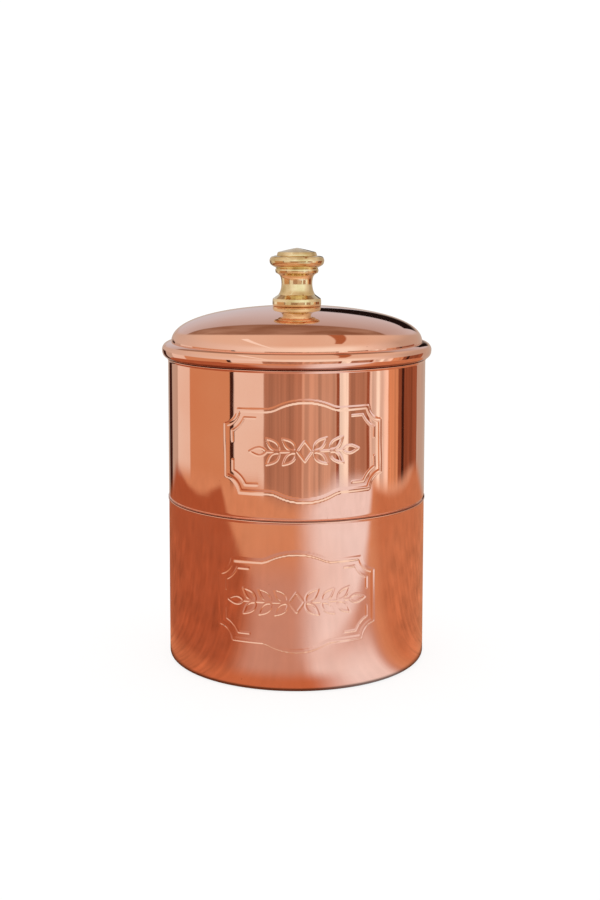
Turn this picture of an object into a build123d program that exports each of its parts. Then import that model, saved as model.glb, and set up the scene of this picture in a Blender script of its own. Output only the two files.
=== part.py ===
from build123d import *
import os

# A round copper storage set: two canisters that stack, and a domed lid with a turned brass knob.
# Millimetres, +Z up. The floor is z = 0, the common axis is Z, and the front looks towards -Y.

# Driving dimensions
body_r = 47.5             # outside radius of both canisters
wall = 0.8                # copper sheet
lower_h = 59.4            # lower canister, floor to rim
upper_h = 51.6            # upper canister, foot to rim
dome_rise = 12.94         # dome foot to its crown
bead_r = 3.2              # rolled rim of the lid, outside radius of its section

# Clearances
seat_gap = 0.02           # air where one canister or the lid stands on the next
seal_gap = 0.2            # seal rib to canister mouth
push_gap = 0.1            # radial room round pieces pushed together before soldering
thread_gap = 0.05         # radial room round the screw in the knob

# Sheet details
bead_inset = 1.0          # centre line of the rolled rim, inside the canister's outside
dome_inset = 0.22         # foot of the dome, inside that centre line
corner_r = 1.5            # foot corner of the lower canister
upper_corner_r = 0.9      # foot corner of the upper canister, above its hem
hem_h = 0.5               # rolled hem on each rim and on the upper foot, height
hem_out = 0.25            # how far a hem stands out of the wall
groove_d = 0.35           # groove between the upper foot's hem and its corner
plug_depth = 7.0          # how far a plug reaches into the canister below it
collar_nest = 0.3         # how deep the rolled rim sits in the lid's collar
lip_out = 1.3             # lip that keeps a seal on its plug
dent_rise = 1.0           # how far the middle of the lower base is pressed up
dent_slope = 2.0          # width of the sloping ring round that middle
ledge_w = 7.6             # flat ring of the lower base outside the slope
seal_h = 4.4              # silicone seal
rib_r = 0.7               # rib on the seal
rib_count = 3
slit_w = 0.4              # slit along the rolled rim, inside the lid
slit_angle = 142          # place of the slit round the rim's section, from +X

# Fastening
screw_r = 2.0             # M4
screw_in_knob = 7.2       # thread length inside the knob
head_r = 4.0
head_h = 2.6
drive_w = 0.9             # cross slot in the screw head
drive_len = 4.6
drive_depth = 1.3
hole_gap = 0.2            # radial room for the screw through sheet and washers
washer_r = 5.5
washer_h = 1.0
lock_r = 3.8
lock_h = 0.9
lock_split = 0.8
seat_edge = 0.6           # flat pressed on the crown, beyond the knob's disc
tip_room = 0.8            # free thread above the screw's tip

# Knob turning, from the disc up
disc_r = 9.0
disc_edge = 0.65          # rounded lower edge of the disc
disc_h = 2.95
neck_r = 6.15
slope_rise = 1.4          # sloping top of the disc
waist_r = 5.6
waist_rise = 4.35
throat_r = 6.2
throat_rise = 2.5
ring_r = 7.85
flare_rise = 1.2
ring_h = 1.5
cove_r = 7.95
cove_rise = 0.3
roll_r = 10.1
roll_belly = 0.58         # height of the collar's widest place, as a share of the collar
crest_r = 8.3
roll_h = 4.3
button_r = 7.4
button_rise = 1.0         # crest of the collar to the top of the button's side
button_edge = 0.35
crown_rise = 1.95         # top of the button's side to the tip
tip_pull_r = 3.2          # pull point of the button's crown, radius and height below the tip
tip_pull_drop = 0.35

# Places that follow
mouth_r = body_r - wall
upper_z = lower_h + seat_gap
bead_ring_r = body_r - bead_inset
dome_r = bead_ring_r - dome_inset
rim_z = upper_z + upper_h
bead_z = rim_z + seat_gap + bead_r
dome_z = bead_z + bead_r - wall / 2
crown_z = dome_z + dome_rise
plug_r = bead_ring_r - bead_r + collar_nest
lip_r = plug_r + lip_out
seal_r = mouth_r - seal_gap
foot_r = plug_r + push_gap
flange_r = mouth_r - push_gap
pan_z = upper_z - plug_depth
collar_z = rim_z - plug_depth
dent_r = flange_r - ledge_w - dent_slope
crown_pull = 0.379        # how far the crown's tangent runs, as a share of the dome's radius
foot_pull = 0.779         # how far the foot's tangent runs, as a share of the rise
dome_drop = 0.22          # crown to the flat seat of the knob
seat_z = crown_z - dome_drop
under_z = seat_z - wall
washer_z = under_z - washer_h
lock_z = washer_z - lock_h
head_z = lock_z - head_h
seat_r = disc_r + seat_edge
neck_h = disc_h + slope_rise
waist_h = neck_h + waist_rise
throat_h = waist_h + throat_rise
ring_low = throat_h + flare_rise
ring_high = ring_low + ring_h
cove_h = ring_high + cove_rise
roll_mid = cove_h + roll_belly * roll_h
crest_h = cove_h + roll_h
button_high = crest_h + button_rise
knob_h = button_high + crown_rise


# Sections in the half plane x > 0, revolved about Z

def rim_and_mouth(rim, floor):
    """Rolled hem on a rim, then the inside of the wall down to the floor."""
    ThreePointArc((body_r, rim - hem_h), (body_r + hem_out, rim - hem_h / 2), (body_r, rim))
    Polyline((body_r, rim), (mouth_r, rim), (mouth_r, floor), (foot_r, floor))


def seal_section(bottom):
    """Silicone ring on a plug, with ribs that press on the canister's mouth."""
    spacing = seal_h / rib_count
    with BuildSketch(Plane.XZ) as section:
        with BuildLine():
            Polyline(
                (plug_r, bottom),
                (seal_r - rib_r, bottom),
                (seal_r - rib_r, bottom + seal_h),
                (plug_r, bottom + seal_h),
                close=True,
            )
        make_face()
        for rib in range(rib_count):
            with Locations((seal_r - rib_r, bottom + (rib + 0.5) * spacing)):
                Circle(rib_r)
    return section.sketch


# Lower canister

with BuildPart() as lower_wall:
    with BuildSketch(Plane.XZ):
        with BuildLine():
            Line((foot_r, wall), (foot_r, 0))
            Line((foot_r, 0), (body_r - corner_r, 0))
            RadiusArc((body_r - corner_r, 0), (body_r, corner_r), -corner_r)
            Line((body_r, corner_r), (body_r, lower_h - hem_h))
            rim_and_mouth(lower_h, wall)
        make_face()
    revolve(axis=Axis.Z)
lower_wall.part.label = "lower_wall"

with BuildPart() as lower_base:
    with BuildSketch(Plane.XZ):
        with BuildLine():
            Polyline(
                (0, wall + dent_rise),
                (dent_r, wall + dent_rise),
                (dent_r + dent_slope, wall),
                (flange_r, wall),
                (flange_r, 2 * wall),
                (dent_r + dent_slope, 2 * wall),
                (dent_r, 2 * wall + dent_rise),
                (0, 2 * wall + dent_rise),
                close=True,
            )
        make_face()
    revolve(axis=Axis.Z)
lower_base.part.label = "lower_base"

# Upper canister

with BuildPart() as upper_wall:
    with BuildSketch(Plane.XZ):
        hem_top = upper_z + hem_h
        corner_top = hem_top + upper_corner_r
        with BuildLine():
            Line((foot_r, upper_z + wall), (foot_r, upper_z))
            Line((foot_r, upper_z), (body_r, upper_z))
            ThreePointArc((body_r, upper_z), (body_r + hem_out, upper_z + hem_h / 2), (body_r, hem_top))
            Line((body_r, hem_top), (body_r - groove_d, hem_top))
            Spline(
                (body_r - groove_d, hem_top),
                (body_r, corner_top),
                tangents=((1, 1), (0, 1)),
            )
            Line((body_r, corner_top), (body_r, rim_z - hem_h))
            rim_and_mouth(rim_z, upper_z + wall)
        make_face()
    revolve(axis=Axis.Z)
upper_wall.part.label = "upper_wall"

with BuildPart() as upper_base:
    with BuildSketch(Plane.XZ):
        with BuildLine():
            Polyline(
                (0, pan_z),
                (lip_r, pan_z),
                (lip_r, pan_z + wall),
                (plug_r, pan_z + wall),
                (plug_r, upper_z + wall),
                (flange_r, upper_z + wall),
                (flange_r, upper_z + 2 * wall),
                (plug_r - wall, upper_z + 2 * wall),
                (plug_r - wall, pan_z + wall),
                (0, pan_z + wall),
                close=True,
            )
        make_face()
    revolve(axis=Axis.Z)
upper_base.part.label = "upper_base"

with BuildPart() as upper_seal:
    add(seal_section(pan_z + wall))
    revolve(axis=Axis.Z)
upper_seal.part.label = "upper_seal"

# Lid

with BuildPart() as lid_cover:
    with BuildSketch(Plane.XZ):
        with BuildLine():
            Line((0, crown_z - wall), (0, crown_z))
            Bezier(
                (0, crown_z),
                (crown_pull * dome_r, crown_z),
                (dome_r, dome_z + foot_pull * dome_rise),
                (dome_r, dome_z),
            )
            Line((dome_r, dome_z), (dome_r - wall, dome_z))
            Bezier(
                (dome_r - wall, dome_z),
                (dome_r - wall, dome_z + foot_pull * dome_rise - wall / 2),
                (crown_pull * dome_r, crown_z - wall),
                (0, crown_z - wall),
            )
        make_face()
        with Locations((bead_ring_r, bead_z)):
            Circle(bead_r, mode=Mode.SUBTRACT)
    revolve(axis=Axis.Z)
    with BuildSketch(Plane.XY.offset(under_z)):
        Circle(seat_r)
    extrude(amount=wall)
    with BuildSketch(Plane.XY.offset(seat_z)):
        Circle(2 * seat_r)
    extrude(amount=dome_rise, mode=Mode.SUBTRACT)
    with BuildSketch(Plane.XY.offset(under_z)):
        Circle(screw_r + hole_gap)
    extrude(amount=wall, mode=Mode.SUBTRACT)
lid_cover.part.label = "lid_cover"

with BuildPart() as lid_rim:
    with BuildSketch(Plane.XZ):
        with Locations((bead_ring_r, bead_z)):
            Circle(bead_r)
            Circle(bead_r - wall, mode=Mode.SUBTRACT)
            with Locations(Location((0, 0, 0), (0, 0, slit_angle))):
                with Locations((bead_r, 0)):
                    Rectangle(3 * wall, slit_w, mode=Mode.SUBTRACT)
    revolve(axis=Axis.Z)
lid_rim.part.label = "lid_rim"

with BuildPart() as lid_collar:
    with BuildSketch(Plane.XZ):
        with BuildLine():
            Polyline(
                (plug_r - wall, collar_z),
                (lip_r, collar_z),
                (lip_r, collar_z + wall),
                (plug_r, collar_z + wall),
                (plug_r, bead_z + bead_r / 2),
                (plug_r - wall, bead_z + bead_r / 2),
                close=True,
            )
        make_face()
        with Locations((bead_ring_r, bead_z)):
            Circle(bead_r, mode=Mode.SUBTRACT)
    revolve(axis=Axis.Z)
lid_collar.part.label = "lid_collar"

with BuildPart() as lid_seal:
    add(seal_section(collar_z + wall))
    revolve(axis=Axis.Z)
lid_seal.part.label = "lid_seal"

# Knob and its fastening

with BuildPart() as knob:
    with BuildSketch(Plane(origin=(0, 0, seat_z), x_dir=(1, 0, 0), z_dir=(0, -1, 0))):
        with BuildLine():
            Line((0, 0), (disc_r - disc_edge, 0))
            RadiusArc((disc_r - disc_edge, 0), (disc_r, disc_edge), -disc_edge)
            Polyline((disc_r, disc_edge), (disc_r, disc_h), (neck_r, neck_h))
            Spline((neck_r, neck_h), (waist_r, waist_h), (throat_r, throat_h), (ring_r, ring_low))
            Polyline((ring_r, ring_low), (ring_r, ring_high), (cove_r, cove_h))
            ThreePointArc((cove_r, cove_h), (roll_r, roll_mid), (crest_r, crest_h))
            Polyline(
                (crest_r, crest_h),
                (button_r, crest_h - button_edge),
                (button_r, button_high - button_edge),
                (button_r - button_edge, button_high),
            )
            Bezier((button_r - button_edge, button_high), (tip_pull_r, knob_h - tip_pull_drop), (0, knob_h))
            Line((0, knob_h), (0, 0))
        make_face()
    revolve(axis=Axis.Z)
    with BuildSketch(Plane.XY.offset(seat_z)):
        Circle(screw_r + thread_gap)
    extrude(amount=screw_in_knob + tip_room, mode=Mode.SUBTRACT)
knob.part.label = "knob"

with BuildPart() as knob_washer:
    with BuildSketch(Plane.XY.offset(washer_z)):
        Circle(washer_r)
        Circle(screw_r + hole_gap, mode=Mode.SUBTRACT)
    extrude(amount=washer_h)
knob_washer.part.label = "knob_washer"

with BuildPart() as knob_lock_washer:
    with BuildSketch(Plane.XY.offset(lock_z)):
        Circle(lock_r)
        Circle(screw_r + hole_gap, mode=Mode.SUBTRACT)
        with Locations((lock_r, 0)):
            Rectangle(2 * lock_r, lock_split, mode=Mode.SUBTRACT)
    extrude(amount=lock_h)
knob_lock_washer.part.label = "knob_lock_washer"

with BuildPart() as knob_screw:
    with BuildSketch(Plane.XY.offset(head_z)):
        Circle(head_r)
    extrude(amount=head_h)
    fillet(knob_screw.edges().group_by(Axis.Z)[0], radius=head_h / 4)
    with BuildSketch(Plane.XY.offset(lock_z)):
        Circle(screw_r)
    extrude(amount=seat_z + screw_in_knob - lock_z)
    chamfer(knob_screw.edges().group_by(Axis.Z)[-1], length=screw_r / 5)
    with BuildSketch(Plane.XY.offset(head_z)):
        Rectangle(drive_len, drive_w)
        Rectangle(drive_w, drive_len)
    extrude(amount=drive_depth, mode=Mode.SUBTRACT)
knob_screw.part.label = "knob_screw"

pieces = [
    lower_wall,
    lower_base,
    upper_wall,
    upper_base,
    upper_seal,
    lid_cover,
    lid_rim,
    lid_collar,
    lid_seal,
    knob,
    knob_washer,
    knob_lock_washer,
    knob_screw,
]

os.makedirs("parts", exist_ok=True)
for piece in pieces:
    export_step(piece.part, f"parts/{piece.part.label}.step")
print("height", round(seat_z + knob_h, 3), "width", round(2 * (bead_ring_r + bead_r), 3))
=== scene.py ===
import math
import bpy
import bmesh
from mathutils import Euler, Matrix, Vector


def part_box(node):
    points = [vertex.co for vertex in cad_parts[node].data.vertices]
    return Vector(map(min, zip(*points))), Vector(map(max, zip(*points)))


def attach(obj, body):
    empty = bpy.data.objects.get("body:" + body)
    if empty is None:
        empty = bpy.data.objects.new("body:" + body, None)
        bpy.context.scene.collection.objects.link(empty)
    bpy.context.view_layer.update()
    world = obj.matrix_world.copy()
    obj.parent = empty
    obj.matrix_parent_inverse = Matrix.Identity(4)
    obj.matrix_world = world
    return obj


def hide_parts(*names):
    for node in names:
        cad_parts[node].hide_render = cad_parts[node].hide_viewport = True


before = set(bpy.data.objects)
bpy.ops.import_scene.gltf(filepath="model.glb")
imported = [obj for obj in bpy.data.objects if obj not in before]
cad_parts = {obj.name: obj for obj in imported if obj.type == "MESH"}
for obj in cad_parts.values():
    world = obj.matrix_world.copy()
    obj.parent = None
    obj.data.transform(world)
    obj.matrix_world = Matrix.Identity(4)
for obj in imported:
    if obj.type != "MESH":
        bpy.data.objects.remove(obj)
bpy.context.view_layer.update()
mm = 0.001
print("frame loaded:", len(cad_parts), "nodes")


def arcPoints(centre, radius, start, end, steps):  # angles in degrees, both ends included
    out = []
    for i in range(steps + 1):
        a = math.radians(start + (end - start) * i / steps)
        out.append((centre[0] + radius * math.cos(a), centre[1] + radius * math.sin(a)))
    return out


def arcThrough(a, b, c, steps):  # circle through three points, from a over b to c
    ax, ay, bx, by, cx, cy = *a, *b, *c
    d = 2 * (ax * (by - cy) + bx * (cy - ay) + cx * (ay - by))
    ux = ((ax**2 + ay**2) * (by - cy) + (bx**2 + by**2) * (cy - ay) + (cx**2 + cy**2) * (ay - by)) / d
    uy = ((ax**2 + ay**2) * (cx - bx) + (bx**2 + by**2) * (ax - cx) + (cx**2 + cy**2) * (bx - ax)) / d
    turn = (bx - ax) * (cy - ay) - (by - ay) * (cx - ax)
    start = math.degrees(math.atan2(ay - uy, ax - ux))
    end = math.degrees(math.atan2(cy - uy, cx - ux))
    if turn > 0 and end < start:
        end += 360
    if turn < 0 and end > start:
        end -= 360
    return arcPoints((ux, uy), math.hypot(ax - ux, ay - uy), start, end, steps)


def bezierPoints(a, b, c, d, steps):
    out = []
    for i in range(steps + 1):
        t = i / steps
        k = ((1 - t)**3, 3 * (1 - t)**2 * t, 3 * (1 - t) * t**2, t**3)
        out.append(tuple(k[0] * a[j] + k[1] * b[j] + k[2] * c[j] + k[3] * d[j] for j in (0, 1)))
    return out


def smoothThrough(points, steps):  # smooth curve through given points
    out = [points[0]]
    for i in range(len(points) - 1):
        p0 = Vector(points[max(i - 1, 0)])
        p1 = Vector(points[i])
        p2 = Vector(points[i + 1])
        p3 = Vector(points[min(i + 2, len(points) - 1)])
        for k in range(1, steps + 1):
            t = k / steps
            q = 0.5 * (2 * p1 + (p2 - p0) * t + (2 * p0 - 5 * p1 + 4 * p2 - p3) * t**2
                       + (3 * p1 - p0 - 3 * p2 + p3) * t**3)
            out.append((q.x, q.y))
    return out


def rounded(corners, steps=5, closed=True):  # corners are (r, z, fillet radius); straights get holding points
    out = []
    count = len(corners)
    for i, (x, y, fillet) in enumerate(corners):
        here = Vector((x, y))
        if fillet <= 0 or (not closed and i in (0, count - 1)):
            out.append((x, y))
            continue
        back = Vector(corners[i - 1][:2]) - here
        ahead = Vector(corners[(i + 1) % count][:2]) - here
        half = back.angle(ahead) / 2
        cut = min(fillet / math.tan(half), back.length * 0.45, ahead.length * 0.45)
        radius = cut * math.tan(half)
        one = here + back.normalized() * cut
        two = here + ahead.normalized() * cut
        centre = here + (back.normalized() + ahead.normalized()).normalized() * (radius / math.sin(half))
        hold = radius * (math.pi - 2 * half) / steps
        if back.length * 0.5 > cut + hold:
            out.append(tuple(one + back.normalized() * hold))
        a0 = math.atan2(one.y - centre.y, one.x - centre.x)
        a1 = math.atan2(two.y - centre.y, two.x - centre.x)
        if a1 - a0 > math.pi:
            a1 -= 2 * math.pi
        if a0 - a1 > math.pi:
            a1 += 2 * math.pi
        for k in range(steps + 1):
            a = a0 + (a1 - a0) * k / steps
            out.append((centre.x + radius * math.cos(a), centre.y + radius * math.sin(a)))
        if ahead.length * 0.5 > cut + hold:
            out.append(tuple(two + ahead.normalized() * hold))
    return out


# closed outline in mm, turned about Z; points on the axis become poles
def turned(name, outline, columns=224):
    mesh = bmesh.new()
    rings = []
    for r, z in outline:
        if r < 1e-4:
            rings.append([mesh.verts.new((0, 0, z * mm))])
            continue
        ring = []
        for c in range(columns):
            a = 2 * math.pi * c / columns
            ring.append(mesh.verts.new((r * mm * math.sin(a), -r * mm * math.cos(a), z * mm)))
        rings.append(ring)
    for i in range(len(rings)):
        low, high = rings[i], rings[(i + 1) % len(rings)]
        if len(low) == 1 and len(high) == 1:
            continue
        for c in range(columns):
            n = (c + 1) % columns
            corners = [low[c % len(low)], low[n % len(low)], high[n % len(high)], high[c % len(high)]]
            mesh.faces.new(list(dict.fromkeys(corners)))
    bmesh.ops.recalc_face_normals(mesh, faces=mesh.faces)
    data = bpy.data.meshes.new(name)
    mesh.to_mesh(data)
    mesh.free()
    data.shade_smooth()
    data.set_sharp_from_angle(angle=math.radians(32))
    obj = bpy.data.objects.new(name, data)
    bpy.context.scene.collection.objects.link(obj)
    return obj


def finished(obj, material, body, slot, *nodes):
    obj.data.materials.clear()
    obj.data.materials.append(material)
    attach(obj, body)
    if nodes:
        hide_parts(*nodes)


class Nodes:  # short way to add and join shader or geometry nodes
    def __init__(self, tree):
        self.tree = tree

    def add(self, kind, values=None, **settings):
        node = self.tree.nodes.new(kind)
        for key, value in settings.items():
            setattr(node, key, value)
        for key, value in (values or {}).items():
            if hasattr(value, "is_output"):
                self.tree.links.new(value, node.inputs[key])
            else:
                node.inputs[key].default_value = value
        return node

    def math(self, operation, a, b=0.0, c=0.0):
        return self.add("ShaderNodeMath", {0: a, 1: b, 2: c}, operation=operation).outputs[0]

    def ramp(self, factor, stops, interpolation="LINEAR"):
        node = self.add("ShaderNodeValToRGB", {0: factor})
        node.color_ramp.interpolation = interpolation
        band = node.color_ramp.elements
        while len(band) < len(stops):
            band.new(0.5)
        for stop, (place, colour) in zip(band, stops):
            stop.position = place
            stop.color = (*colour, 1) if hasattr(colour, "__len__") else (colour, colour, colour, 1)
        return node.outputs[0]

    def step(self, value, start, end):  # soft step from 0 at start to 1 at end
        node = self.add("ShaderNodeMapRange", {"Value": value, "From Min": start, "From Max": end},
                        interpolation_type="SMOOTHSTEP")
        return node.outputs[0]

    def mix(self, factor, a, b):
        node = self.add("ShaderNodeMix", data_type="RGBA")
        for socket, value in ((node.inputs[0], factor), (node.inputs[6], a), (node.inputs[7], b)):
            if hasattr(value, "is_output"):
                self.tree.links.new(value, socket)
            else:
                socket.default_value = value
        return node.outputs[2]

    def noise(self, place, scale, detail=2.0, roughness=0.5):
        node = self.add("ShaderNodeTexNoise", {
            "Vector": place,
            "Scale": scale,
            "Detail": detail,
            "Roughness": roughness,
        })
        return node.outputs[0]

    def join(self, a, b):
        self.tree.links.new(a, b)


def newMaterial(name):
    material = bpy.data.materials.new(name)
    material.use_nodes = True
    n = Nodes(material.node_tree)
    return material, n, material.node_tree.nodes["Principled BSDF"]


# coordinates drawn out round the axis, for the fine lines a polishing wheel leaves
def turningLines(n, pitch, run):
    place = n.add("ShaderNodeTexCoord").outputs["Object"]
    x, y, z = n.add("ShaderNodeSeparateXYZ", {0: place}).outputs
    radius = n.add("ShaderNodeVectorMath", {0: place, 1: (1, 1, 0)}, operation="MULTIPLY").outputs[0]
    radius = n.add("ShaderNodeVectorMath", {0: radius}, operation="LENGTH").outputs[1]
    angle = n.math("ARCTAN2", x, n.math("MULTIPLY", y, -1))
    along = n.math("MULTIPLY", n.math("SINE", angle), run)
    across = n.add("ShaderNodeCombineXYZ", {
        0: along,
        1: n.math("MULTIPLY", radius, 1 / pitch),
        2: n.math("MULTIPLY", z, 1 / pitch),
    }).outputs[0]
    return place, radius, z, across


copperLook = {
    "copper": (0.955, 0.60, 0.47, 1),
    "copperDeep": (0.93, 0.53, 0.39, 1),      # where the sheet has darkened a little
    "speck": (0.30, 0.12, 0.07, 1),
    "tin": (0.72, 0.71, 0.69, 1),
    # painted shade laid in creases: its dark colour, its share and how far it fades upwards
    "paintedShadeColour": (0.20, 0.045, 0.022, 1),
    "paintedShadeShare": 0.82,
    "paintedShadeFade": 0.12,
    "cloudScale": 38.0,
    "linePitch": 0.00022,
    "lineRun": 5.0,
    "lineBump": 0.018,
    "speckSize": 0.004,
    "speckRadius": 0.035, # share of a speck's cell
    "speckShare": 0.75,
    "rareScale": 95.0,    # where specks come at all
    "rareFrom": 0.56,
    "smearScale": 210.0,
    "tinRough": 0.18,     # added to the roughness
    "bumpDepth": 0.00004,
}


# polished sheet or turned metal; tinned is "", "radius" (inside a wall) or "under" (inside a dome),
# the last argument is a range of heights in mm where the colour is darkened as painted shade (used in the
# seam and under the bead)
def polishedMetal(name, look, gloss, tinned="", tinRadius=0.0, paintedShadeBand=()):
    material, n, shader = newMaterial(name)
    place, radius, z, across = turningLines(n, look["linePitch"], look["lineRun"])
    lines = n.noise(across, 1.0, 3.0, 0.6)
    cloud = n.noise(place, look["cloudScale"], 4.0)
    smear = n.noise(place, look["smearScale"], 5.0, 0.65)
    tint = n.mix(n.ramp(cloud, [(0.35, 0.0), (0.72, 1.0)]), look["copper"], look["copperDeep"])
    cells = n.add("ShaderNodeTexVoronoi", {"Vector": place, "Scale": 1 / look["speckSize"]})
    spot = n.math("LESS_THAN", cells.outputs["Distance"], look["speckRadius"])
    rare = n.math("GREATER_THAN", n.noise(place, look["rareScale"]), look["rareFrom"])
    spot = n.math("MULTIPLY", spot, rare)
    colour = n.mix(n.math("MULTIPLY", spot, look["speckShare"]), tint, look["speck"])
    rough = n.math("MULTIPLY_ADD", lines, gloss["lines"], gloss["base"])
    rough = n.math("MULTIPLY_ADD", n.ramp(smear, [(0.45, 0.0), (0.8, 1.0)]), gloss["smear"], rough)
    # painted shade: darken the colour over the given band of heights
    if paintedShadeBand:
        height = n.math("DIVIDE", z, mm)
        band = n.math("MULTIPLY", n.step(height, paintedShadeBand[0] - 0.06, paintedShadeBand[0] + 0.06),
                      n.step(height, paintedShadeBand[1] + look["paintedShadeFade"], paintedShadeBand[1]))
        colour = n.mix(n.math("MULTIPLY", band, look["paintedShadeShare"]), colour, look["paintedShadeColour"])
    if tinned:
        if tinned == "radius":
            inside = n.math("LESS_THAN", radius, tinRadius)
        else:
            facing = n.add("ShaderNodeTexCoord").outputs["Normal"]
            inside = n.math("LESS_THAN", n.add("ShaderNodeSeparateXYZ", {0: facing}).outputs[2], -0.05)
        colour = n.mix(inside, colour, look["tin"])
        rough = n.math("MULTIPLY_ADD", inside, look["tinRough"], rough)
    shader.inputs["Metallic"].default_value = 1.0
    n.join(colour, shader.inputs["Base Color"])
    n.join(rough, shader.inputs["Roughness"])
    bump = n.add("ShaderNodeBump", {
        "Strength": look["lineBump"],
        "Distance": look["bumpDepth"],
        "Height": lines,
    })
    n.join(bump.outputs[0], shader.inputs["Normal"])
    return material


panel = {                 # label panel, mm, measured flat
    "halfWidth": 28.8,
    "halfHeight": 14.8,   # to the straight top and bottom lines
    "archHalf": 13.2,
    "archRise": 3.05,
    "archBlend": 8.0,     # fillet where the arch leaves the straight line
    "notch": 5.2,
    "channelInset": 0.78,
    "cornerInset": 3.4,
    "cornerArmAcross": 4.2,
    "cornerArmDown": 3.7,
    "steps": 24,
}


def panelQuarter(inset):  # top middle to right middle, inset from the outer line
    k = panel
    total = (k["archHalf"]**2 + k["archRise"]**2) / (2 * k["archRise"])
    big = total - k["archBlend"]
    top = (0, k["halfHeight"] + k["archRise"] - big)
    blend = (k["archHalf"], k["halfHeight"] + k["archBlend"])
    lean = math.degrees(math.atan2(blend[0] - top[0], blend[1] - top[1]))
    out = arcPoints(top, big - inset, 90, 90 - lean, k["steps"])
    out += arcPoints(blend, k["archBlend"] + inset, 270 - lean, 270, k["steps"])
    return out + panelNotch(inset) + [(k["halfWidth"] - inset, 0)]


def panelNotch(inset):
    k = panel
    radius = k["notch"] + inset
    trim = math.degrees(math.asin(inset / radius))
    return arcPoints((k["halfWidth"], k["halfHeight"]), radius, 270 - trim, 180 + trim, k["steps"])[::-1]


def mirrored(points):  # the four mirror images of one stretch
    return [[(x * sx, y * sy) for x, y in points] for sx in (1, -1) for sy in (1, -1)]


# outline of a pointed leaf that grows from root at an angle in degrees
def leafPoints(root, angle, length, width):
    out = []
    steps = 12
    for side in (1, -1):
        for i in range(steps + 1):
            t = i / steps if side > 0 else 1 - i / steps
            across = side * width / 2 * math.sin(math.pi * t**0.8)
            a = math.radians(angle)
            out.append((root[0] + t * length * math.cos(a) - across * math.sin(a),
                        root[1] + t * length * math.sin(a) + across * math.cos(a)))
    return out


sprig = {                 # plain leaf sprig in the panel, mm
    "pitch": 5.6,
    "leafLength": 6.0,
    "leafWidth": 2.7,
    "leafAngle": 42,
    "stemGap": 0.45,
    "bud": 2.6,
}


def sprigLines(pairs):
    k = sprig
    lines = []
    bud = k["bud"]
    lines.append([(bud, 0), (0, bud * 1.35), (-bud, 0), (0, -bud * 1.35), (bud, 0)])
    for side in (1, -1):
        for i in range(pairs):
            root = bud + 0.5 + i * k["pitch"]
            for up in (1, -1):
                foot = (root, up * k["stemGap"])
                leaf = leafPoints(foot, up * k["leafAngle"], k["leafLength"], k["leafWidth"])
                lines.append([(x * side, y) for x, y in leaf])
        last = bud + 0.5 + pairs * k["pitch"]
        tip = leafPoints((last - 1.2, 0), 0, k["leafLength"], k["leafWidth"])
        lines.append([(x * side, y) for x, y in tip])
        lines.append([((bud + 0.2) * side, 0), ((last - 1.4) * side, 0)])
    return lines


def lineObject(name, lines, tilt):  # flat guide lines as edges, turned a little in their plane
    verts, edges = [], []
    c, s = math.cos(math.radians(tilt)), math.sin(math.radians(tilt))
    for line in lines:
        first = len(verts)
        verts += [((x * c - y * s) * mm, 0, (x * s + y * c) * mm) for x, y in line]
        edges += [(first + i, first + i + 1) for i in range(len(line) - 1)]
    data = bpy.data.meshes.new(name)
    data.from_pydata(verts, edges, [])
    obj = bpy.data.objects.new(name, data)
    bpy.context.scene.collection.objects.link(obj)
    return obj


# places from -end to end, close together in the middle, where dense is the slope
def spread(count, dense, end, power=5):
    out = []
    for i in range(count + 1):
        t = 2 * i / count - 1
        out.append(dense * t + (end - dense) * t**power)
    return out


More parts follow.
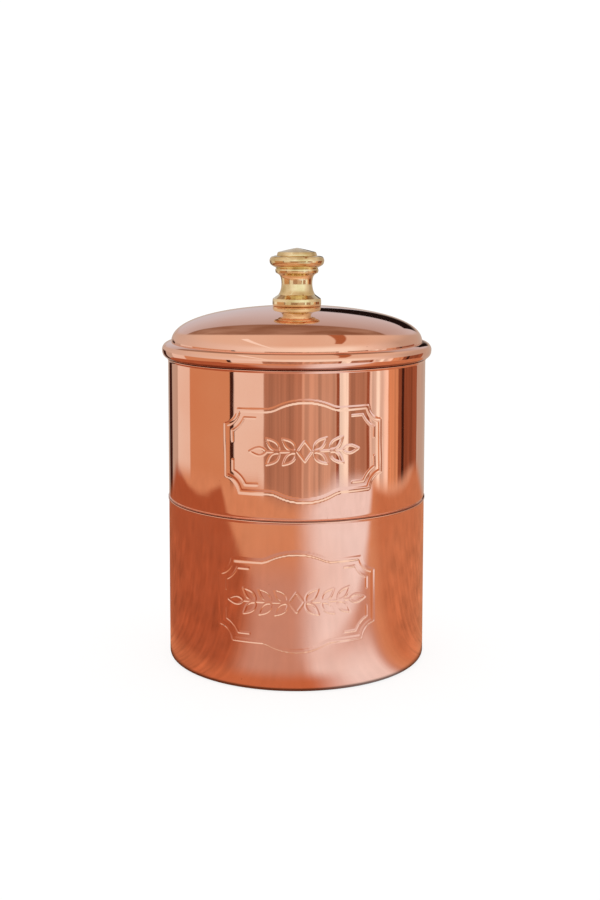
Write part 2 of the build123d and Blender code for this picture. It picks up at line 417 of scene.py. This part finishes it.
# rolls a flat sheet round the axis and presses the panel, the corner lines and the sprig into it
def wallTree():
    tree = bpy.data.node_groups.new("pressedWall", "GeometryNodeTree")
    face = tree.interface
    face.new_socket("Sheet", in_out="INPUT", socket_type="NodeSocketGeometry")
    for name in ("Channel Lines", "Corner Lines", "Sprig Lines"):
        face.new_socket(name, in_out="INPUT", socket_type="NodeSocketObject")
    for name in (
        "Radius", "Turn", "Panel Height", "Channel Half", "Channel Depth",
        "Line Half", "Line Depth", "Edge", "Wave Size", "Wave Height",
    ):
        face.new_socket(name, in_out="INPUT", socket_type="NodeSocketFloat")
    face.new_socket("Finish", in_out="INPUT", socket_type="NodeSocketMaterial")
    face.new_socket("Wall", in_out="OUTPUT", socket_type="NodeSocketGeometry")
    n = Nodes(tree)
    given = n.add("NodeGroupInput").outputs
    place = n.add("GeometryNodeInputPosition").outputs[0]
    u, inset, z = n.add("ShaderNodeSeparateXYZ", {0: place}).outputs
    flat = n.add("ShaderNodeCombineXYZ", {0: u, 2: n.math("SUBTRACT", z, given["Panel Height"])}).outputs[0]

    def pressed(lines, half, depth):
        guide = n.add("GeometryNodeObjectInfo", {"Object": given[lines]}).outputs["Geometry"]
        near = n.add("GeometryNodeProximity", {0: guide, "Sample Position": flat}, target_element="EDGES")
        step = n.add("ShaderNodeMapRange", {
            "Value": near.outputs["Distance"],
            "From Min": n.math("SUBTRACT", given[half], given["Edge"]),
            "From Max": n.math("ADD", given[half], given["Edge"]),
            "To Min": given[depth],
            "To Max": 0.0,
        }, interpolation_type="SMOOTHSTEP")
        return step.outputs[0]

    channel = pressed("Channel Lines", "Channel Half", "Channel Depth")
    corner = pressed("Corner Lines", "Line Half", "Line Depth")
    leaves = pressed("Sprig Lines", "Line Half", "Line Depth")
    depth = n.math("MAXIMUM", n.math("MAXIMUM", channel, corner), leaves)
    outer = n.math("LESS_THAN", n.math("ABSOLUTE", inset), 0.00001)
    angle = n.math("ADD", n.math("DIVIDE", u, given["Radius"]), given["Turn"])
    side, front = n.math("SINE", angle), n.math("MULTIPLY", n.math("COSINE", angle), -1)
    rolled = n.add("ShaderNodeCombineXYZ", {
        0: n.math("MULTIPLY", side, given["Radius"]),
        1: n.math("MULTIPLY", front, given["Radius"]),
        2: z,
    }).outputs[0]
    wave = n.noise(rolled, n.math("DIVIDE", 1.0, given["Wave Size"]), 1.0)
    wave = n.math("MULTIPLY", n.math("SUBTRACT", wave, 0.5), given["Wave Height"])
    radius = n.math("SUBTRACT", given["Radius"], inset)
    radius = n.math("ADD", radius, n.math("MULTIPLY", outer, n.math("SUBTRACT", wave, depth)))
    where = n.add("ShaderNodeCombineXYZ", {
        0: n.math("MULTIPLY", side, radius),
        1: n.math("MULTIPLY", front, radius),
        2: z,
    }).outputs[0]
    moved = n.add("GeometryNodeSetPosition", {0: given["Sheet"], "Position": where}).outputs[0]
    smooth = n.add("GeometryNodeSetShadeSmooth", {0: moved}).outputs[0]
    real = n.add("GeometryNodeRealizeInstances", {0: smooth}).outputs[0]
    done = n.add("GeometryNodeSetMaterial", {0: real, "Material": given["Finish"]}).outputs[0]
    n.join(done, n.add("NodeGroupOutput").inputs[0])
    return tree


wallSheet = {
    "thickness": 0.8,
    "hemHeight": 0.5,
    "hemOut": 0.25,
    "groove": 0.32,       # above the hem at the upper canister's foot
    "grooveHeight": 0.16,
    "ledge": 43.7,        # inner radius of the turned-in foot
    "columns": 440,
    "columnSlope": 1.15,  # radians per half sheet in the middle, against pi on average
    "rows": 170,
    "rowSlope": 0.80,
    "channelHalf": 0.60,
    "channelDepth": 0.11,
    "lineHalf": 0.22,
    "lineDepth": 0.13,
    "edge": 0.15,
    "waveSize": 16.0,
    "waveHeight": 0.05,
}


# closed section of a canister wall as (inset from the outside, height); rows of the outer face have inset 0
def wallSection(foot, rim, radius, footCorner, footHem):
    k = wallSheet
    inner = k["thickness"]
    ledge = radius - k["ledge"]
    out = [(ledge, foot + inner), (ledge, foot + 0.1), (ledge - 0.1, foot)]
    if footHem:
        out += [(0.3, foot), (0.06, foot)]
        footRoll = arcThrough((0, foot + 0.02), (k["hemOut"], foot + 0.25), (0, foot + 0.5), 10)
        out += [(-x, z) for x, z in footRoll]
        start = foot + k["hemHeight"]
        deep, low = k["groove"], k["grooveHeight"]
        out += [(0.22, start + 0.05), (deep, start + low)]
        for a in range(10, 90, 10):
            swing = math.radians(a)
            rise = (footCorner - low) * (1 - math.cos(swing))
            out.append((deep * (1 - math.sin(swing)), start + low + rise))
        start += footCorner
    else:
        out += [(footCorner + 0.3, foot)]
        out += [(footCorner - x, foot + footCorner - z) for x, z in
                arcPoints((0, 0), footCorner, 90, 0, 10)[:-1]]
        start = foot + footCorner
    top = rim - k["hemHeight"]
    middle = (start + top) / 2
    half = (top - start) / 2
    out += [(0, middle + z) for z in spread(k["rows"], half * k["rowSlope"], half)]
    hem = arcThrough((0, top), (k["hemOut"], top + k["hemHeight"] / 2), (0.03, rim - 0.01), 10)
    out += [(-x, z) for x, z in hem[1:]]
    out += [(0.1, rim), (inner - 0.15, rim), (inner - 0.04, rim - 0.04)]
    out += [(inner, rim - 0.15), (inner, rim - 0.5)]
    out += [(inner, foot + inner + (rim - foot - inner) * t) for t in (0.85, 0.5, 0.15)]
    out += [(inner, foot + inner + 0.6), (inner + 0.1, foot + inner + 0.1), (inner + 0.6, foot + inner)]
    return out


def pressedWall(name, foot, rim, radius, footCorner, footHem, label, finish, tree):
    k = wallSheet
    section = wallSection(foot, rim, radius, footCorner, footHem)
    arcs = [radius * a for a in spread(k["columns"], k["columnSlope"], math.pi, 7)[:-1]]
    rows, columns = len(section), len(arcs)
    verts = [(u * mm, inset * mm, z * mm) for inset, z in section for u in arcs]
    faces = []
    for i in range(rows):
        j = (i + 1) % rows
        for c in range(columns):
            d = (c + 1) % columns
            faces.append((i * columns + c, i * columns + d, j * columns + d, j * columns + c))
    data = bpy.data.meshes.new(name + "Sheet")
    data.from_pydata(verts, [], faces)
    sheet = bpy.data.objects.new(name + "Sheet", data)
    bpy.context.scene.collection.objects.link(sheet)
    right = panelQuarter(panel["channelInset"])
    outline = [line for line in mirrored(right)]
    corner = panelNotch(panel["cornerInset"])
    corner = [(corner[0][0] - panel["cornerArmAcross"], corner[0][1])] + corner
    corner.append((corner[-1][0], corner[-1][1] - panel["cornerArmDown"]))
    guides = [
        lineObject("channelGuide", outline, label["tilt"]),
        lineObject("cornerGuide", mirrored(corner), label["tilt"]),
        lineObject("sprigGuide", sprigLines(label["pairs"]), label["tilt"]),
    ]
    modifier = sheet.modifiers.new("pressed", "NODES")
    modifier.node_group = tree
    values = {
        "Radius": radius * mm, "Turn": math.radians(label["turn"]), "Panel Height": label["height"] * mm,
        "Channel Lines": guides[0], "Corner Lines": guides[1], "Sprig Lines": guides[2],
        "Channel Half": k["channelHalf"] * mm, "Channel Depth": k["channelDepth"] * mm,
        "Line Half": k["lineHalf"] * mm, "Line Depth": k["lineDepth"] * mm, "Edge": k["edge"] * mm,
        "Wave Size": k["waveSize"] * mm, "Wave Height": k["waveHeight"] * mm, "Finish": finish,
    }
    for item in tree.interface.items_tree:
        if item.in_out == "INPUT" and item.name in values:
            modifier[item.identifier] = values[item.name]
    bpy.context.view_layer.update()
    shape = bpy.data.meshes.new_from_object(sheet.evaluated_get(bpy.context.evaluated_depsgraph_get()))
    for extra in (sheet, *guides):
        bpy.data.objects.remove(extra)
    solid = bmesh.new()
    solid.from_mesh(shape)
    bmesh.ops.recalc_face_normals(solid, faces=solid.faces)
    solid.to_mesh(shape)
    solid.free()
    shape.name = name
    wall = bpy.data.objects.new(name, shape)
    bpy.context.scene.collection.objects.link(wall)
    return wall


def nodeHeights(node):
    low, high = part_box(node)
    return low[2] / mm, high[2] / mm


def nodeRadius(node):  # the smallest of its four reaches, with a hair to spare
    low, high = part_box(node)
    return min(-low[0], -low[1], high[0], high[1]) / mm - 0.006


hem = wallSheet["hemOut"]
bodyRadius = nodeRadius("lower_wall") - hem
mirrorFine = {"base": 0.02, "lines": 0.03, "smear": 0.03}
mirrorWorn = {"base": 0.05, "lines": 0.05, "smear": 0.05}
satin = {"base": 0.22, "lines": 0.12, "smear": 0.08}
tinRadius = (bodyRadius - 0.5) * mm
pressTree = wallTree()

lowerFoot, lowerRim = nodeHeights("lower_wall")
upperFoot, upperRim = nodeHeights("upper_wall")
lowerLabel = {"height": 31.6, "turn": 0.2, "tilt": 0.8, "pairs": 3}
upperLabel = {"height": 83.7, "turn": 3.5, "tilt": 1.1, "pairs": 2}
lowerFinish = polishedMetal("copperLower", copperLook, mirrorWorn, "radius", tinRadius)
# painted shade in the seam at the upper canister's foot
upperFinish = polishedMetal("copperUpper", copperLook, mirrorFine, "radius", tinRadius,
                            (upperFoot - 0.1, upperFoot + 0.42))
lowerWall = pressedWall("lowerWallPressed", lowerFoot, lowerRim, bodyRadius, 1.5, False,
                        lowerLabel, lowerFinish, pressTree)
finished(lowerWall, lowerFinish, "lower_canister", "copper_lower", "lower_wall")
upperWall = pressedWall("upperWallPressed", upperFoot, upperRim, bodyRadius, 0.9, True,
                        upperLabel, upperFinish, pressTree)
finished(upperWall, upperFinish, "upper_canister", "copper_upper", "upper_wall")
print("walls:", len(lowerWall.data.polygons), len(upperWall.data.polygons), "faces")


sheet = wallSheet["thickness"]
baseLow, baseHigh = nodeHeights("lower_base")
baseRadius = nodeRadius("lower_base")
dent = {"rise": baseHigh - baseLow - sheet, "slope": 2.0, "ledge": 7.6}
dentRadius = baseRadius - dent["ledge"] - dent["slope"]
baseOutline = rounded([
    (0, baseLow + dent["rise"], 0),
    (dentRadius, baseLow + dent["rise"], 1.0),
    (dentRadius + dent["slope"], baseLow, 0.8),
    (baseRadius, baseLow, 0.1),
    (baseRadius, baseLow + sheet, 0.1),
    (dentRadius + dent["slope"], baseLow + sheet, 1.0),
    (dentRadius, baseHigh, 0.8),
    (0, baseHigh, 0),
], closed=False)
baseFinish = polishedMetal("copperBase", copperLook, satin)
finished(turned("lowerBaseDisc", baseOutline, 128), baseFinish, "lower_canister", "copper_base", "lower_base")

panLow, panHigh = nodeHeights("upper_base")
flangeRadius = nodeRadius("upper_base")
plug = {"radius": 43.6, "lip": 1.3}
panOutline = rounded([
    (0, panLow, 0),
    (plug["radius"] + plug["lip"], panLow, 0.3),
    (plug["radius"] + plug["lip"], panLow + sheet, 0.3),
    (plug["radius"], panLow + sheet, 0.1),
    (plug["radius"], panHigh - sheet, 0.2),
    (flangeRadius, panHigh - sheet, 0.1),
    (flangeRadius, panHigh, 0.2),
    (plug["radius"] - sheet, panHigh, 0.6),
    (plug["radius"] - sheet, panLow + sheet, 1.2),
    (0, panLow + sheet, 0),
], closed=False)
panFinish = polishedMetal("copperPan", copperLook, satin)
finished(turned("upperBasePan", panOutline, 160), panFinish, "upper_canister", "copper_pan", "upper_base")

collarLow, collarHigh = nodeHeights("lid_collar")
collarOutline = rounded([
    (plug["radius"] - sheet, collarLow, 0.2),
    (plug["radius"] + plug["lip"], collarLow, 0.3),
    (plug["radius"] + plug["lip"], collarLow + sheet, 0.3),
    (plug["radius"], collarLow + sheet, 0.1),
    (plug["radius"] - 0.32, collarHigh, 0.1),
    (plug["radius"] - sheet, collarHigh, 0.1),
])
collarFinish = polishedMetal("copperCollar", copperLook, satin)
finished(turned("lidCollarRing", collarOutline, 160), collarFinish, "lid", "copper_collar", "lid_collar")

silicone, n, shader = newMaterial("siliconeMilky")
grain = n.noise(n.add("ShaderNodeTexCoord").outputs["Object"], 900.0)
n.join(n.mix(grain, (0.58, 0.58, 0.56, 1), (0.68, 0.68, 0.66, 1)), shader.inputs["Base Color"])
n.join(n.math("MULTIPLY_ADD", grain, 0.15, 0.35), shader.inputs["Roughness"])
shader.inputs["Subsurface Weight"].default_value = 0.25
shader.inputs["Subsurface Scale"].default_value = 0.002
sealShape = {"rib": 0.7, "ribs": 3}
for node, body in (("upper_seal", "upper_canister"), ("lid_seal", "lid")):
    low, high = nodeHeights(node)
    face = nodeRadius(node) - sealShape["rib"]
    gap = (high - low) / sealShape["ribs"]
    outline = [(plug["radius"], high), (plug["radius"], low), (face, low)]
    for i in range(sealShape["ribs"]):
        outline += arcPoints((face, low + (i + 0.5) * gap), sealShape["rib"], -88, 88, 12)
    outline.append((face, high))
    piece = turned(node.replace("_s", "S") + "Ring", outline, 160)
    finished(piece, silicone, body, "silicone", node)
print("bases, collar and seals made")


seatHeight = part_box("knob")[0].z / mm
bead = {
    "radius": 3.2,
    "slit": 0.4,
    "slitAt": 142,
    "hollow": 0.75,       # inside of the roll, as a share of its outside
    "crest": 2.72,        # how far the roll reaches above and below its centre
    "drop": 3.18,
    "square": 0.82,       # below 1 makes the lower half a little fuller than an ellipse
}
bead["ring"] = nodeRadius("lid_rim") - bead["radius"]
bead["height"] = nodeHeights("lid_rim")[0] + bead["radius"]
beadCrest = bead["height"] + bead["crest"]
dome = {
    "foot": bead["ring"] - 0.22,
    "footHeight": bead["height"] + bead["radius"] - 0.4,
    "crown": seatHeight + 0.22,
    "pull": 0.379,
    "footPull": 0.779,
    "hole": 2.2,
    "steps": 110,
}


def beadOutside():
    k = bead
    out = []
    for i in range(17):
        a = math.radians(128 - 250 * i / 16)
        c, s = math.cos(a), math.sin(a)
        power, reach = (1, k["crest"]) if s > 0 else (k["square"], k["drop"])
        out.append((math.copysign(k["radius"] * abs(c)**power, c), math.copysign(reach * abs(s)**power, s)))
    return out


def domeCurve(foot, crown, drop):
    k = dome
    rise = k["crown"] - k["footHeight"]
    shoulder = (foot, k["footHeight"] + k["footPull"] * rise - drop)
    end = (foot, k["footHeight"])
    return bezierPoints((0, crown), (k["pull"] * k["foot"], crown), shoulder, end, k["steps"])


outer = [p for p in domeCurve(dome["foot"], dome["crown"], 0) if beadCrest + 0.05 < p[1] < seatHeight - 0.01]
inner = [p for p in domeCurve(dome["foot"] - sheet, dome["crown"] - sheet, sheet / 2)
         if beadCrest + 0.05 < p[1] < seatHeight - sheet - 0.01]
domeOutline = [(dome["hole"], seatHeight), (outer[0][0] - 0.4, seatHeight)] + outer
domeOutline += [(dome["foot"], beadCrest + 0.01), (dome["foot"] - sheet, beadCrest + 0.01)]
domeOutline += inner[::-1] + [(inner[0][0] - 0.4, seatHeight - sheet), (dome["hole"], seatHeight - sheet)]
lidFinish = polishedMetal("copperLid", copperLook, mirrorFine, "under")
finished(turned("lidDome", domeOutline, 256), lidFinish, "lid", "copper_lid", "lid_cover")

halfSlit = math.degrees(math.asin(bead["slit"] / 2 / bead["radius"]))
slitEnds = [arcPoints((0, 0), bead["radius"], bead["slitAt"] + turn, bead["slitAt"] + turn + 2, 1)
            for turn in (-halfSlit - 2, halfSlit)]
inward = arcPoints((0, 0), bead["radius"], 228, bead["slitAt"] + halfSlit + 12, 5)
roll = smoothThrough([slitEnds[0][1], slitEnds[0][0]] + beadOutside() + inward + slitEnds[1][::-1], 6)
ring, hollow = bead["ring"], bead["hollow"]
beadOutline = [(ring + x, bead["height"] + y) for x, y in roll]
beadOutline += [(ring + x * hollow, bead["height"] + y * hollow) for x, y in roll[::-1]]
# painted shade under the bead, where it meets the wall
rimFinish = polishedMetal("copperRim", dict(copperLook, paintedShadeFade=0.55), mirrorFine,
                          paintedShadeBand=(bead["height"] - 3.3, bead["height"] - 2.45))
finished(turned("lidRimBead", beadOutline, 256), rimFinish, "lid", "copper_rim", "lid_rim")
print("lid made")


knobShape = {             # radius and height above the seat, mm
    "bore": (2.05, 8.0),
    "disc": (9.0, 2.8),
    "slopeEnd": (7.05, 4.1),
    "neck": [(6.7, 4.4), (6.0, 6.0), (5.7, 8.6), (6.2, 11.1), (7.8, 12.35)],
    "ring": (7.95, 12.55, 13.75),
    "cove": (7.6, 14.1),
    "collar": [(7.95, 14.3), (9.6, 15.3), (10.1, 16.8), (9.6, 18.1), (8.6, 18.5)],
    "button": [(7.25, 17.95), (7.4, 18.8), (7.0, 19.9)],
    "crown": [(6.6, 20.02), (3.0, 20.9), (0.35, 21.43)],
    "tip": 21.45,
}


def knobOutline():
    k = knobShape
    width, top = k["disc"]
    out = rounded([(k["bore"][0], 0, 0), (width - 0.15, 0, 0.5), (width, 0.9, 1.5), (width, 1.9, 1.5),
                   (width - 0.12, top, 0.3), (*k["slopeEnd"], 0)], closed=False)
    out += smoothThrough(k["neck"], 5)
    out += rounded([(k["ring"][0] - 0.1, k["ring"][1] - 0.1, 0), (k["ring"][0] - 0.1, k["ring"][1], 0.05),
                    (k["ring"][0] + 0.08, (k["ring"][1] + k["ring"][2]) / 2, 1.2),
                    (k["ring"][0] - 0.05, k["ring"][2], 0.25), (*k["cove"], 0)], closed=False)
    out += smoothThrough(k["collar"], 6)
    out += [(7.9, 18.3)] + smoothThrough(k["button"], 4)
    out += smoothThrough(k["crown"], 4)
    out += [(0, k["tip"]), (0, k["bore"][1]), k["bore"]]
    return [(r, seatHeight + z) for r, z in out]


brassLook = dict(copperLook, copper=(0.97, 0.82, 0.52, 1), copperDeep=(0.58, 0.43, 0.18, 1),
                 speck=(0.25, 0.12, 0.05, 1), cloudScale=170.0)
knobFinish = polishedMetal("brassKnob", brassLook, {"base": 0.08, "lines": 0.07, "smear": 0.05})
finished(turned("knobTurning", knobOutline(), 192), knobFinish, "lid", "knob_brass", "knob")

zincLook = dict(copperLook, copper=(0.62, 0.62, 0.60, 1), copperDeep=(0.50, 0.50, 0.47, 1),
                speck=(0.2, 0.2, 0.2, 1))
zincFinish = polishedMetal("zincSteel", zincLook, {"base": 0.28, "lines": 0.10, "smear": 0.15})
for name in ("knob_washer", "knob_lock_washer", "knob_screw"):
    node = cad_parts[name]
    if not node.data.materials:
        node.data.materials.append(zincFinish)
    for place in node.material_slots:
        place.material = zincFinish
print("knob made")


# what polished metal sees level with the canisters: plain upright bands, one colour each, all round the room
roomColours = {
    "window": (1.0, 1.05, 1.0),
    "curtain": (0.85, 0.75, 0.68),
    "plaster": (0.55, 0.45, 0.38),
    "tan": (0.60, 0.40, 0.30),
    "wood": (0.45, 0.25, 0.17),
    "orange": (0.65, 0.33, 0.18),
    "shadow": (0.30, 0.10, 0.05),
    "black": (0.05, 0.015, 0.01),
}
roomBands = [             # where each one begins, degrees from the front, right positive
    (-180, "plaster"), (-158, "black"), (-146, "plaster"), (-130, "curtain"), (-108, "orange"),
    (-60, "black"), (-56, "curtain"), (-28, "wood"), (0, "wood"), (5, "tan"),
    (35, "shadow"), (38, "window"), (46, "wood"),
    (64, "shadow"), (67, "curtain"), (74, "window"), (78, "curtain"), (88, "orange"), (101, "shadow"),
    (106, "black"), (110, "shadow"), (134, "plaster"),
]
lowSky = [                # just above the horizon, each place blending into the next
    (-180, "plaster"), (-60, "curtain"), (0, "window"), (50, "window"), (75, "curtain"), (110, "plaster"),
]
ceiling = {
    "peach": (0.80, 0.655, 0.54, 1),
    "brown": (0.27, 0.15, 0.095, 1),
    "brownLight": (0.42, 0.29, 0.22, 1),
    "orange": (0.44, 0.17, 0.08, 1),
    "strip": (1.0, 1.0, 0.95, 1),
    "black": (0.012, 0.006, 0.005, 1),
    "haze": (0.62, 0.60, 0.63),
    "dusk": (0.47, 0.38, 0.36),
}


def bandRamp(n, bearing, start):  # half the room, with a soft edge half a degree wide between bands
    bands = [band for band in roomBands if start <= band[0] < start + 180]
    stops = []
    for k, (place, name) in enumerate(bands):
        end = bands[k + 1][0] if k + 1 < len(bands) else start + 180
        stops += [((place - start) / 180, roomColours[name]), ((end - 0.5 - start) / 180, roomColours[name])]
    return n.ramp(n.math("DIVIDE", n.math("SUBTRACT", bearing, start), 180.0), stops)


def degrees(n, y, x):
    return n.math("DEGREES", n.math("ARCTAN2", y, x))


def ceilingColour(n, way, x, y, z, bearing):
    k = ceiling
    low = [(place / 360 + 0.5, roomColours[name]) for place, name in lowSky]
    low = n.ramp(n.math("MULTIPLY_ADD", bearing, 1 / 360, 0.5), low)
    front = n.mix(n.step(z, 0.30, 0.78), low, k["peach"])
    up = n.math("MAXIMUM", z, 0.04)
    across, back = n.math("DIVIDE", x, up), n.math("DIVIDE", y, up)
    wedge = n.math("ABSOLUTE", n.math("ADD", n.math("MULTIPLY_ADD", back, 0.4, across), -0.42))
    wedge = n.math("MULTIPLY", n.step(wedge, 0.085, 0.055), n.step(back, -0.62, -0.45))
    front = n.mix(wedge, front, k["orange"])
    strip = n.math("ABSOLUTE", n.math("ADD", n.math("MULTIPLY_ADD", back, -0.17, across), 0.51))
    strip = n.math("MULTIPLY", n.step(strip, 0.055, 0.04), n.step(back, 0.10, 0.06))
    front = n.mix(strip, front, k["strip"])
    rear = n.ramp(z, [(0.3, k["haze"]), (0.8, k["dusk"])])
    patches = n.noise(way, 3.5, 3.0)
    brown = n.mix(n.ramp(patches, [(0.42, 0.0), (0.68, 1.0)]), k["brown"], k["brownLight"])
    rise = n.math("SUBTRACT", z, n.math("ADD", n.math("MULTIPLY", y, 0.84), n.math("MULTIPLY", x, 0.38)))
    rise = n.math("ADD", rise, n.math("MULTIPLY_ADD", patches, 0.12, -0.06))
    rear = n.mix(n.step(rise, -0.03, 0.03), rear, brown)
    under = n.step(n.math("MULTIPLY_ADD", x, -0.3, z), 0.258, 0.242)
    dark = n.math("MULTIPLY", n.step(x, 0.010, 0.022), under)
    dark = n.math("MULTIPLY", dark, n.step(n.math("ADD", x, z), 0.165, 0.18))
    dark = n.math("MULTIPLY", dark, n.step(x, 0.33, 0.31))
    rear = n.mix(dark, rear, k["black"])
    inside = n.math("ADD", n.math("MULTIPLY", y, 0.787), n.math("MULTIPLY", z, 0.617))
    return n.mix(n.step(inside, 0.80, 0.86), front, rear)


def roomLight():
    world = bpy.data.worlds.new("plainStudio")
    world.use_nodes = True
    n = Nodes(world.node_tree)
    world.node_tree.nodes.clear()
    way = n.add("ShaderNodeTexCoord").outputs["Generated"]
    x, y, z = n.add("ShaderNodeSeparateXYZ", {0: way}).outputs
    bearing = degrees(n, x, n.math("MULTIPLY", y, -1))
    left = bandRamp(n, bearing, -180)
    right = bandRamp(n, bearing, 0)
    level = n.mix(n.math("GREATER_THAN", bearing, 0.0), left, right)
    drawn = {0: n.math("MULTIPLY", bearing, 0.24), 1: n.math("MULTIPLY", z, 3.0)}
    streaks = n.noise(n.add("ShaderNodeCombineXYZ", drawn).outputs[0], 1.0, 3.5)
    middle = n.math("MULTIPLY", n.step(bearing, -28, -24), n.step(bearing, 170, 120))
    streaks = n.math("MULTIPLY_ADD", n.math("MULTIPLY", n.math("SUBTRACT", streaks, 0.5), middle), 1.3, 1.0)
    level = n.add("ShaderNodeVectorMath", {0: level, "Scale": streaks}, operation="SCALE").outputs[0]
    seen = n.mix(n.step(z, -0.05, 0.02), level, ceilingColour(n, way, x, y, z, bearing))
    path = n.add("ShaderNodeLightPath").outputs
    direct = n.math("MULTIPLY", path["Is Glossy Ray"], n.math("LESS_THAN", path["Diffuse Depth"], 0.5))
    colour = n.mix(direct, (1.05, 1.05, 1.05, 1), seen)
    light = n.add("ShaderNodeBackground", {"Color": colour}).outputs[0]
    n.join(light, n.add("ShaderNodeOutputWorld").inputs[0])
    bpy.context.scene.world = world


# the same floor as polished metal sees it: a warm table top with daylight across its right front corner
floorPlan = {
    "half": 3.0,
    "edges": (-0.41, 0.375, -0.345, 0.26),    # left, right, front, back
    "orange": (0.68, 0.36, 0.21, 1),
    "dark": (0.42, 0.13, 0.06, 1),
    "brown": (0.58, 0.25, 0.13, 1),
    # painted reflection of the windows in the glossy table
    "windowSheen": (0.60, 0.37, 0.30, 1),
    "day": (0.90, 0.92, 1.0, 1),
    "pale": (0.80, 0.50, 0.35, 1),
    "footShadeTint": (0.58, 0.21, 0.10, 1),           # painted shade: darker, redder ring on the table close round the foot
    "corner": 0.41,       # how far out its rounded corners reach
    "softEdge": 0.035,
    "footShade": 0.22,
    "glow": 0.75,         # share of the floor's own brightness that its shadows don't reach
}


def tableColour(n, place, x, y, away, bearing):
    k = floorPlan
    colour = n.mix(n.step(bearing, 60, 74), k["orange"], k["brown"])
    # painted reflection of the windows on the table near the canister
    near = n.math("MULTIPLY", n.step(away, 0.25, 0.17), n.step(bearing, -48, -30))
    near = n.math("MULTIPLY", near, n.step(bearing, 64, 52))
    colour = n.mix(near, colour, k["windowSheen"])
    dark = n.math("MULTIPLY", n.step(y, -0.175, -0.150), n.step(bearing, -24, -46))
    colour = n.mix(n.math("MULTIPLY", dark, n.step(x, -0.365, -0.340)), colour, k["dark"])
    slant = n.math("MULTIPLY_ADD", x, 0.238, y)
    day = n.math("MULTIPLY", n.step(bearing, -4, 22), n.step(slant, -0.062, -0.092))
    colour = n.mix(day, colour, k["day"])
    day = n.math("MULTIPLY", n.step(bearing, 2, 14), n.step(away, 0.13, 0.06))
    colour = n.mix(n.math("MULTIPLY", day, n.step(bearing, 58, 48)), colour, k["day"])
    colour = n.mix(n.step(x, 0.33, 0.37), colour, k["pale"])
    # painted shade on the table round the foot
    foot = n.math("MULTIPLY", n.step(away, 0.072, 0.056), n.step(bearing, 34, 4))
    colour = n.mix(foot, colour, k["footShadeTint"])
    grain = n.noise(place, 26.0, 5.0, 0.6)
    drawn = {0: n.math("MULTIPLY", bearing, 0.34), 1: n.math("MULTIPLY", away, 22.0)}
    rays = n.noise(n.add("ShaderNodeCombineXYZ", drawn).outputs[0], 1.0, 5.0, 0.6)
    sides = n.math("ADD", n.step(bearing, -28, -50), n.step(bearing, 64, 84))
    sides = n.math("MULTIPLY", sides, n.step(away, 0.34, 0.12))
    uneven = n.math("SUBTRACT", n.math("ADD", grain, rays), 1.0)
    strength = n.math("MULTIPLY_ADD", uneven, n.math("MULTIPLY_ADD", sides, 0.85, 0.22), 1.0)
    foot = n.math("MULTIPLY_ADD", n.step(away, 0.0478, 0.0520), 1 - k["footShade"], k["footShade"])
    return colour, n.math("MULTIPLY", strength, foot)


def paleFloor():
    k = floorPlan
    bpy.ops.mesh.primitive_plane_add(size=2 * k["half"])
    floor = bpy.context.object
    floor.name = "paleFloor"
    material, n, shader = newMaterial("paleFloor")
    shader.inputs["Base Color"].default_value = (0.96, 0.96, 0.96, 1)
    shader.inputs["Roughness"].default_value = 0.9
    shader.inputs["Specular IOR Level"].default_value = 0.0
    place = n.add("ShaderNodeTexCoord").outputs["Object"]
    x, y, z = n.add("ShaderNodeSeparateXYZ", {0: place}).outputs
    bearing = degrees(n, x, n.math("MULTIPLY", y, -1))
    away = n.add("ShaderNodeVectorMath", {0: place}, operation="LENGTH").outputs[1]
    colour, strength = tableColour(n, place, x, y, away, bearing)
    table = n.add("ShaderNodeEmission", {"Color": colour, "Strength": strength}).outputs[0]
    left, right, front, back = k["edges"]
    soft = k["softEdge"]
    gone = n.math("MAXIMUM", n.step(x, left + soft, left - soft), n.step(x, right - soft, right + soft))
    gone = n.math("MAXIMUM", gone, n.step(y, front + soft, front - soft))
    gone = n.math("MAXIMUM", gone, n.step(y, back - soft, back + soft))
    gone = n.math("MAXIMUM", gone, n.step(away, k["corner"] - soft, k["corner"] + soft))
    clear = n.add("ShaderNodeBsdfTransparent").outputs[0]
    mirrored = n.add("ShaderNodeMixShader", {0: gone, 1: table, 2: clear}).outputs[0]
    glossy = n.add("ShaderNodeLightPath").outputs["Is Glossy Ray"]
    bright = n.add("ShaderNodeEmission", {"Color": (1, 1, 1, 1), "Strength": 1.04}).outputs[0]
    pale = n.add("ShaderNodeMixShader", {0: k["glow"], 1: shader.outputs[0], 2: bright}).outputs[0]
    both = n.add("ShaderNodeMixShader", {0: glossy, 1: pale, 2: mirrored}).outputs[0]
    n.join(both, material.node_tree.nodes["Material Output"].inputs[0])
    floor.data.materials.append(material)


cameraView = {
    "place": (0.0012, -0.4812, 0.1608),
    "pitch": 5.78,        # degrees down
    "roll": 0.1,
    "lens": 52.19,
    "shift": -0.1071,
}


def viewCamera():
    k = cameraView
    camera = bpy.data.objects.new("viewCamera", bpy.data.cameras.new("viewCamera"))
    bpy.context.scene.collection.objects.link(camera)
    pitch = Euler((math.radians(90 - k["pitch"]), 0, 0)).to_quaternion()
    roll = Euler((0, 0, math.radians(k["roll"]))).to_quaternion()
    camera.rotation_euler = (pitch @ roll).to_euler()
    camera.location = k["place"]
    camera.data.lens = k["lens"]
    camera.data.shift_y = k["shift"]
    bpy.context.scene.camera = camera


roomLight()
paleFloor()
viewCamera()
bpy.context.scene.view_settings.view_transform = "Standard"
print("room, floor and camera set")

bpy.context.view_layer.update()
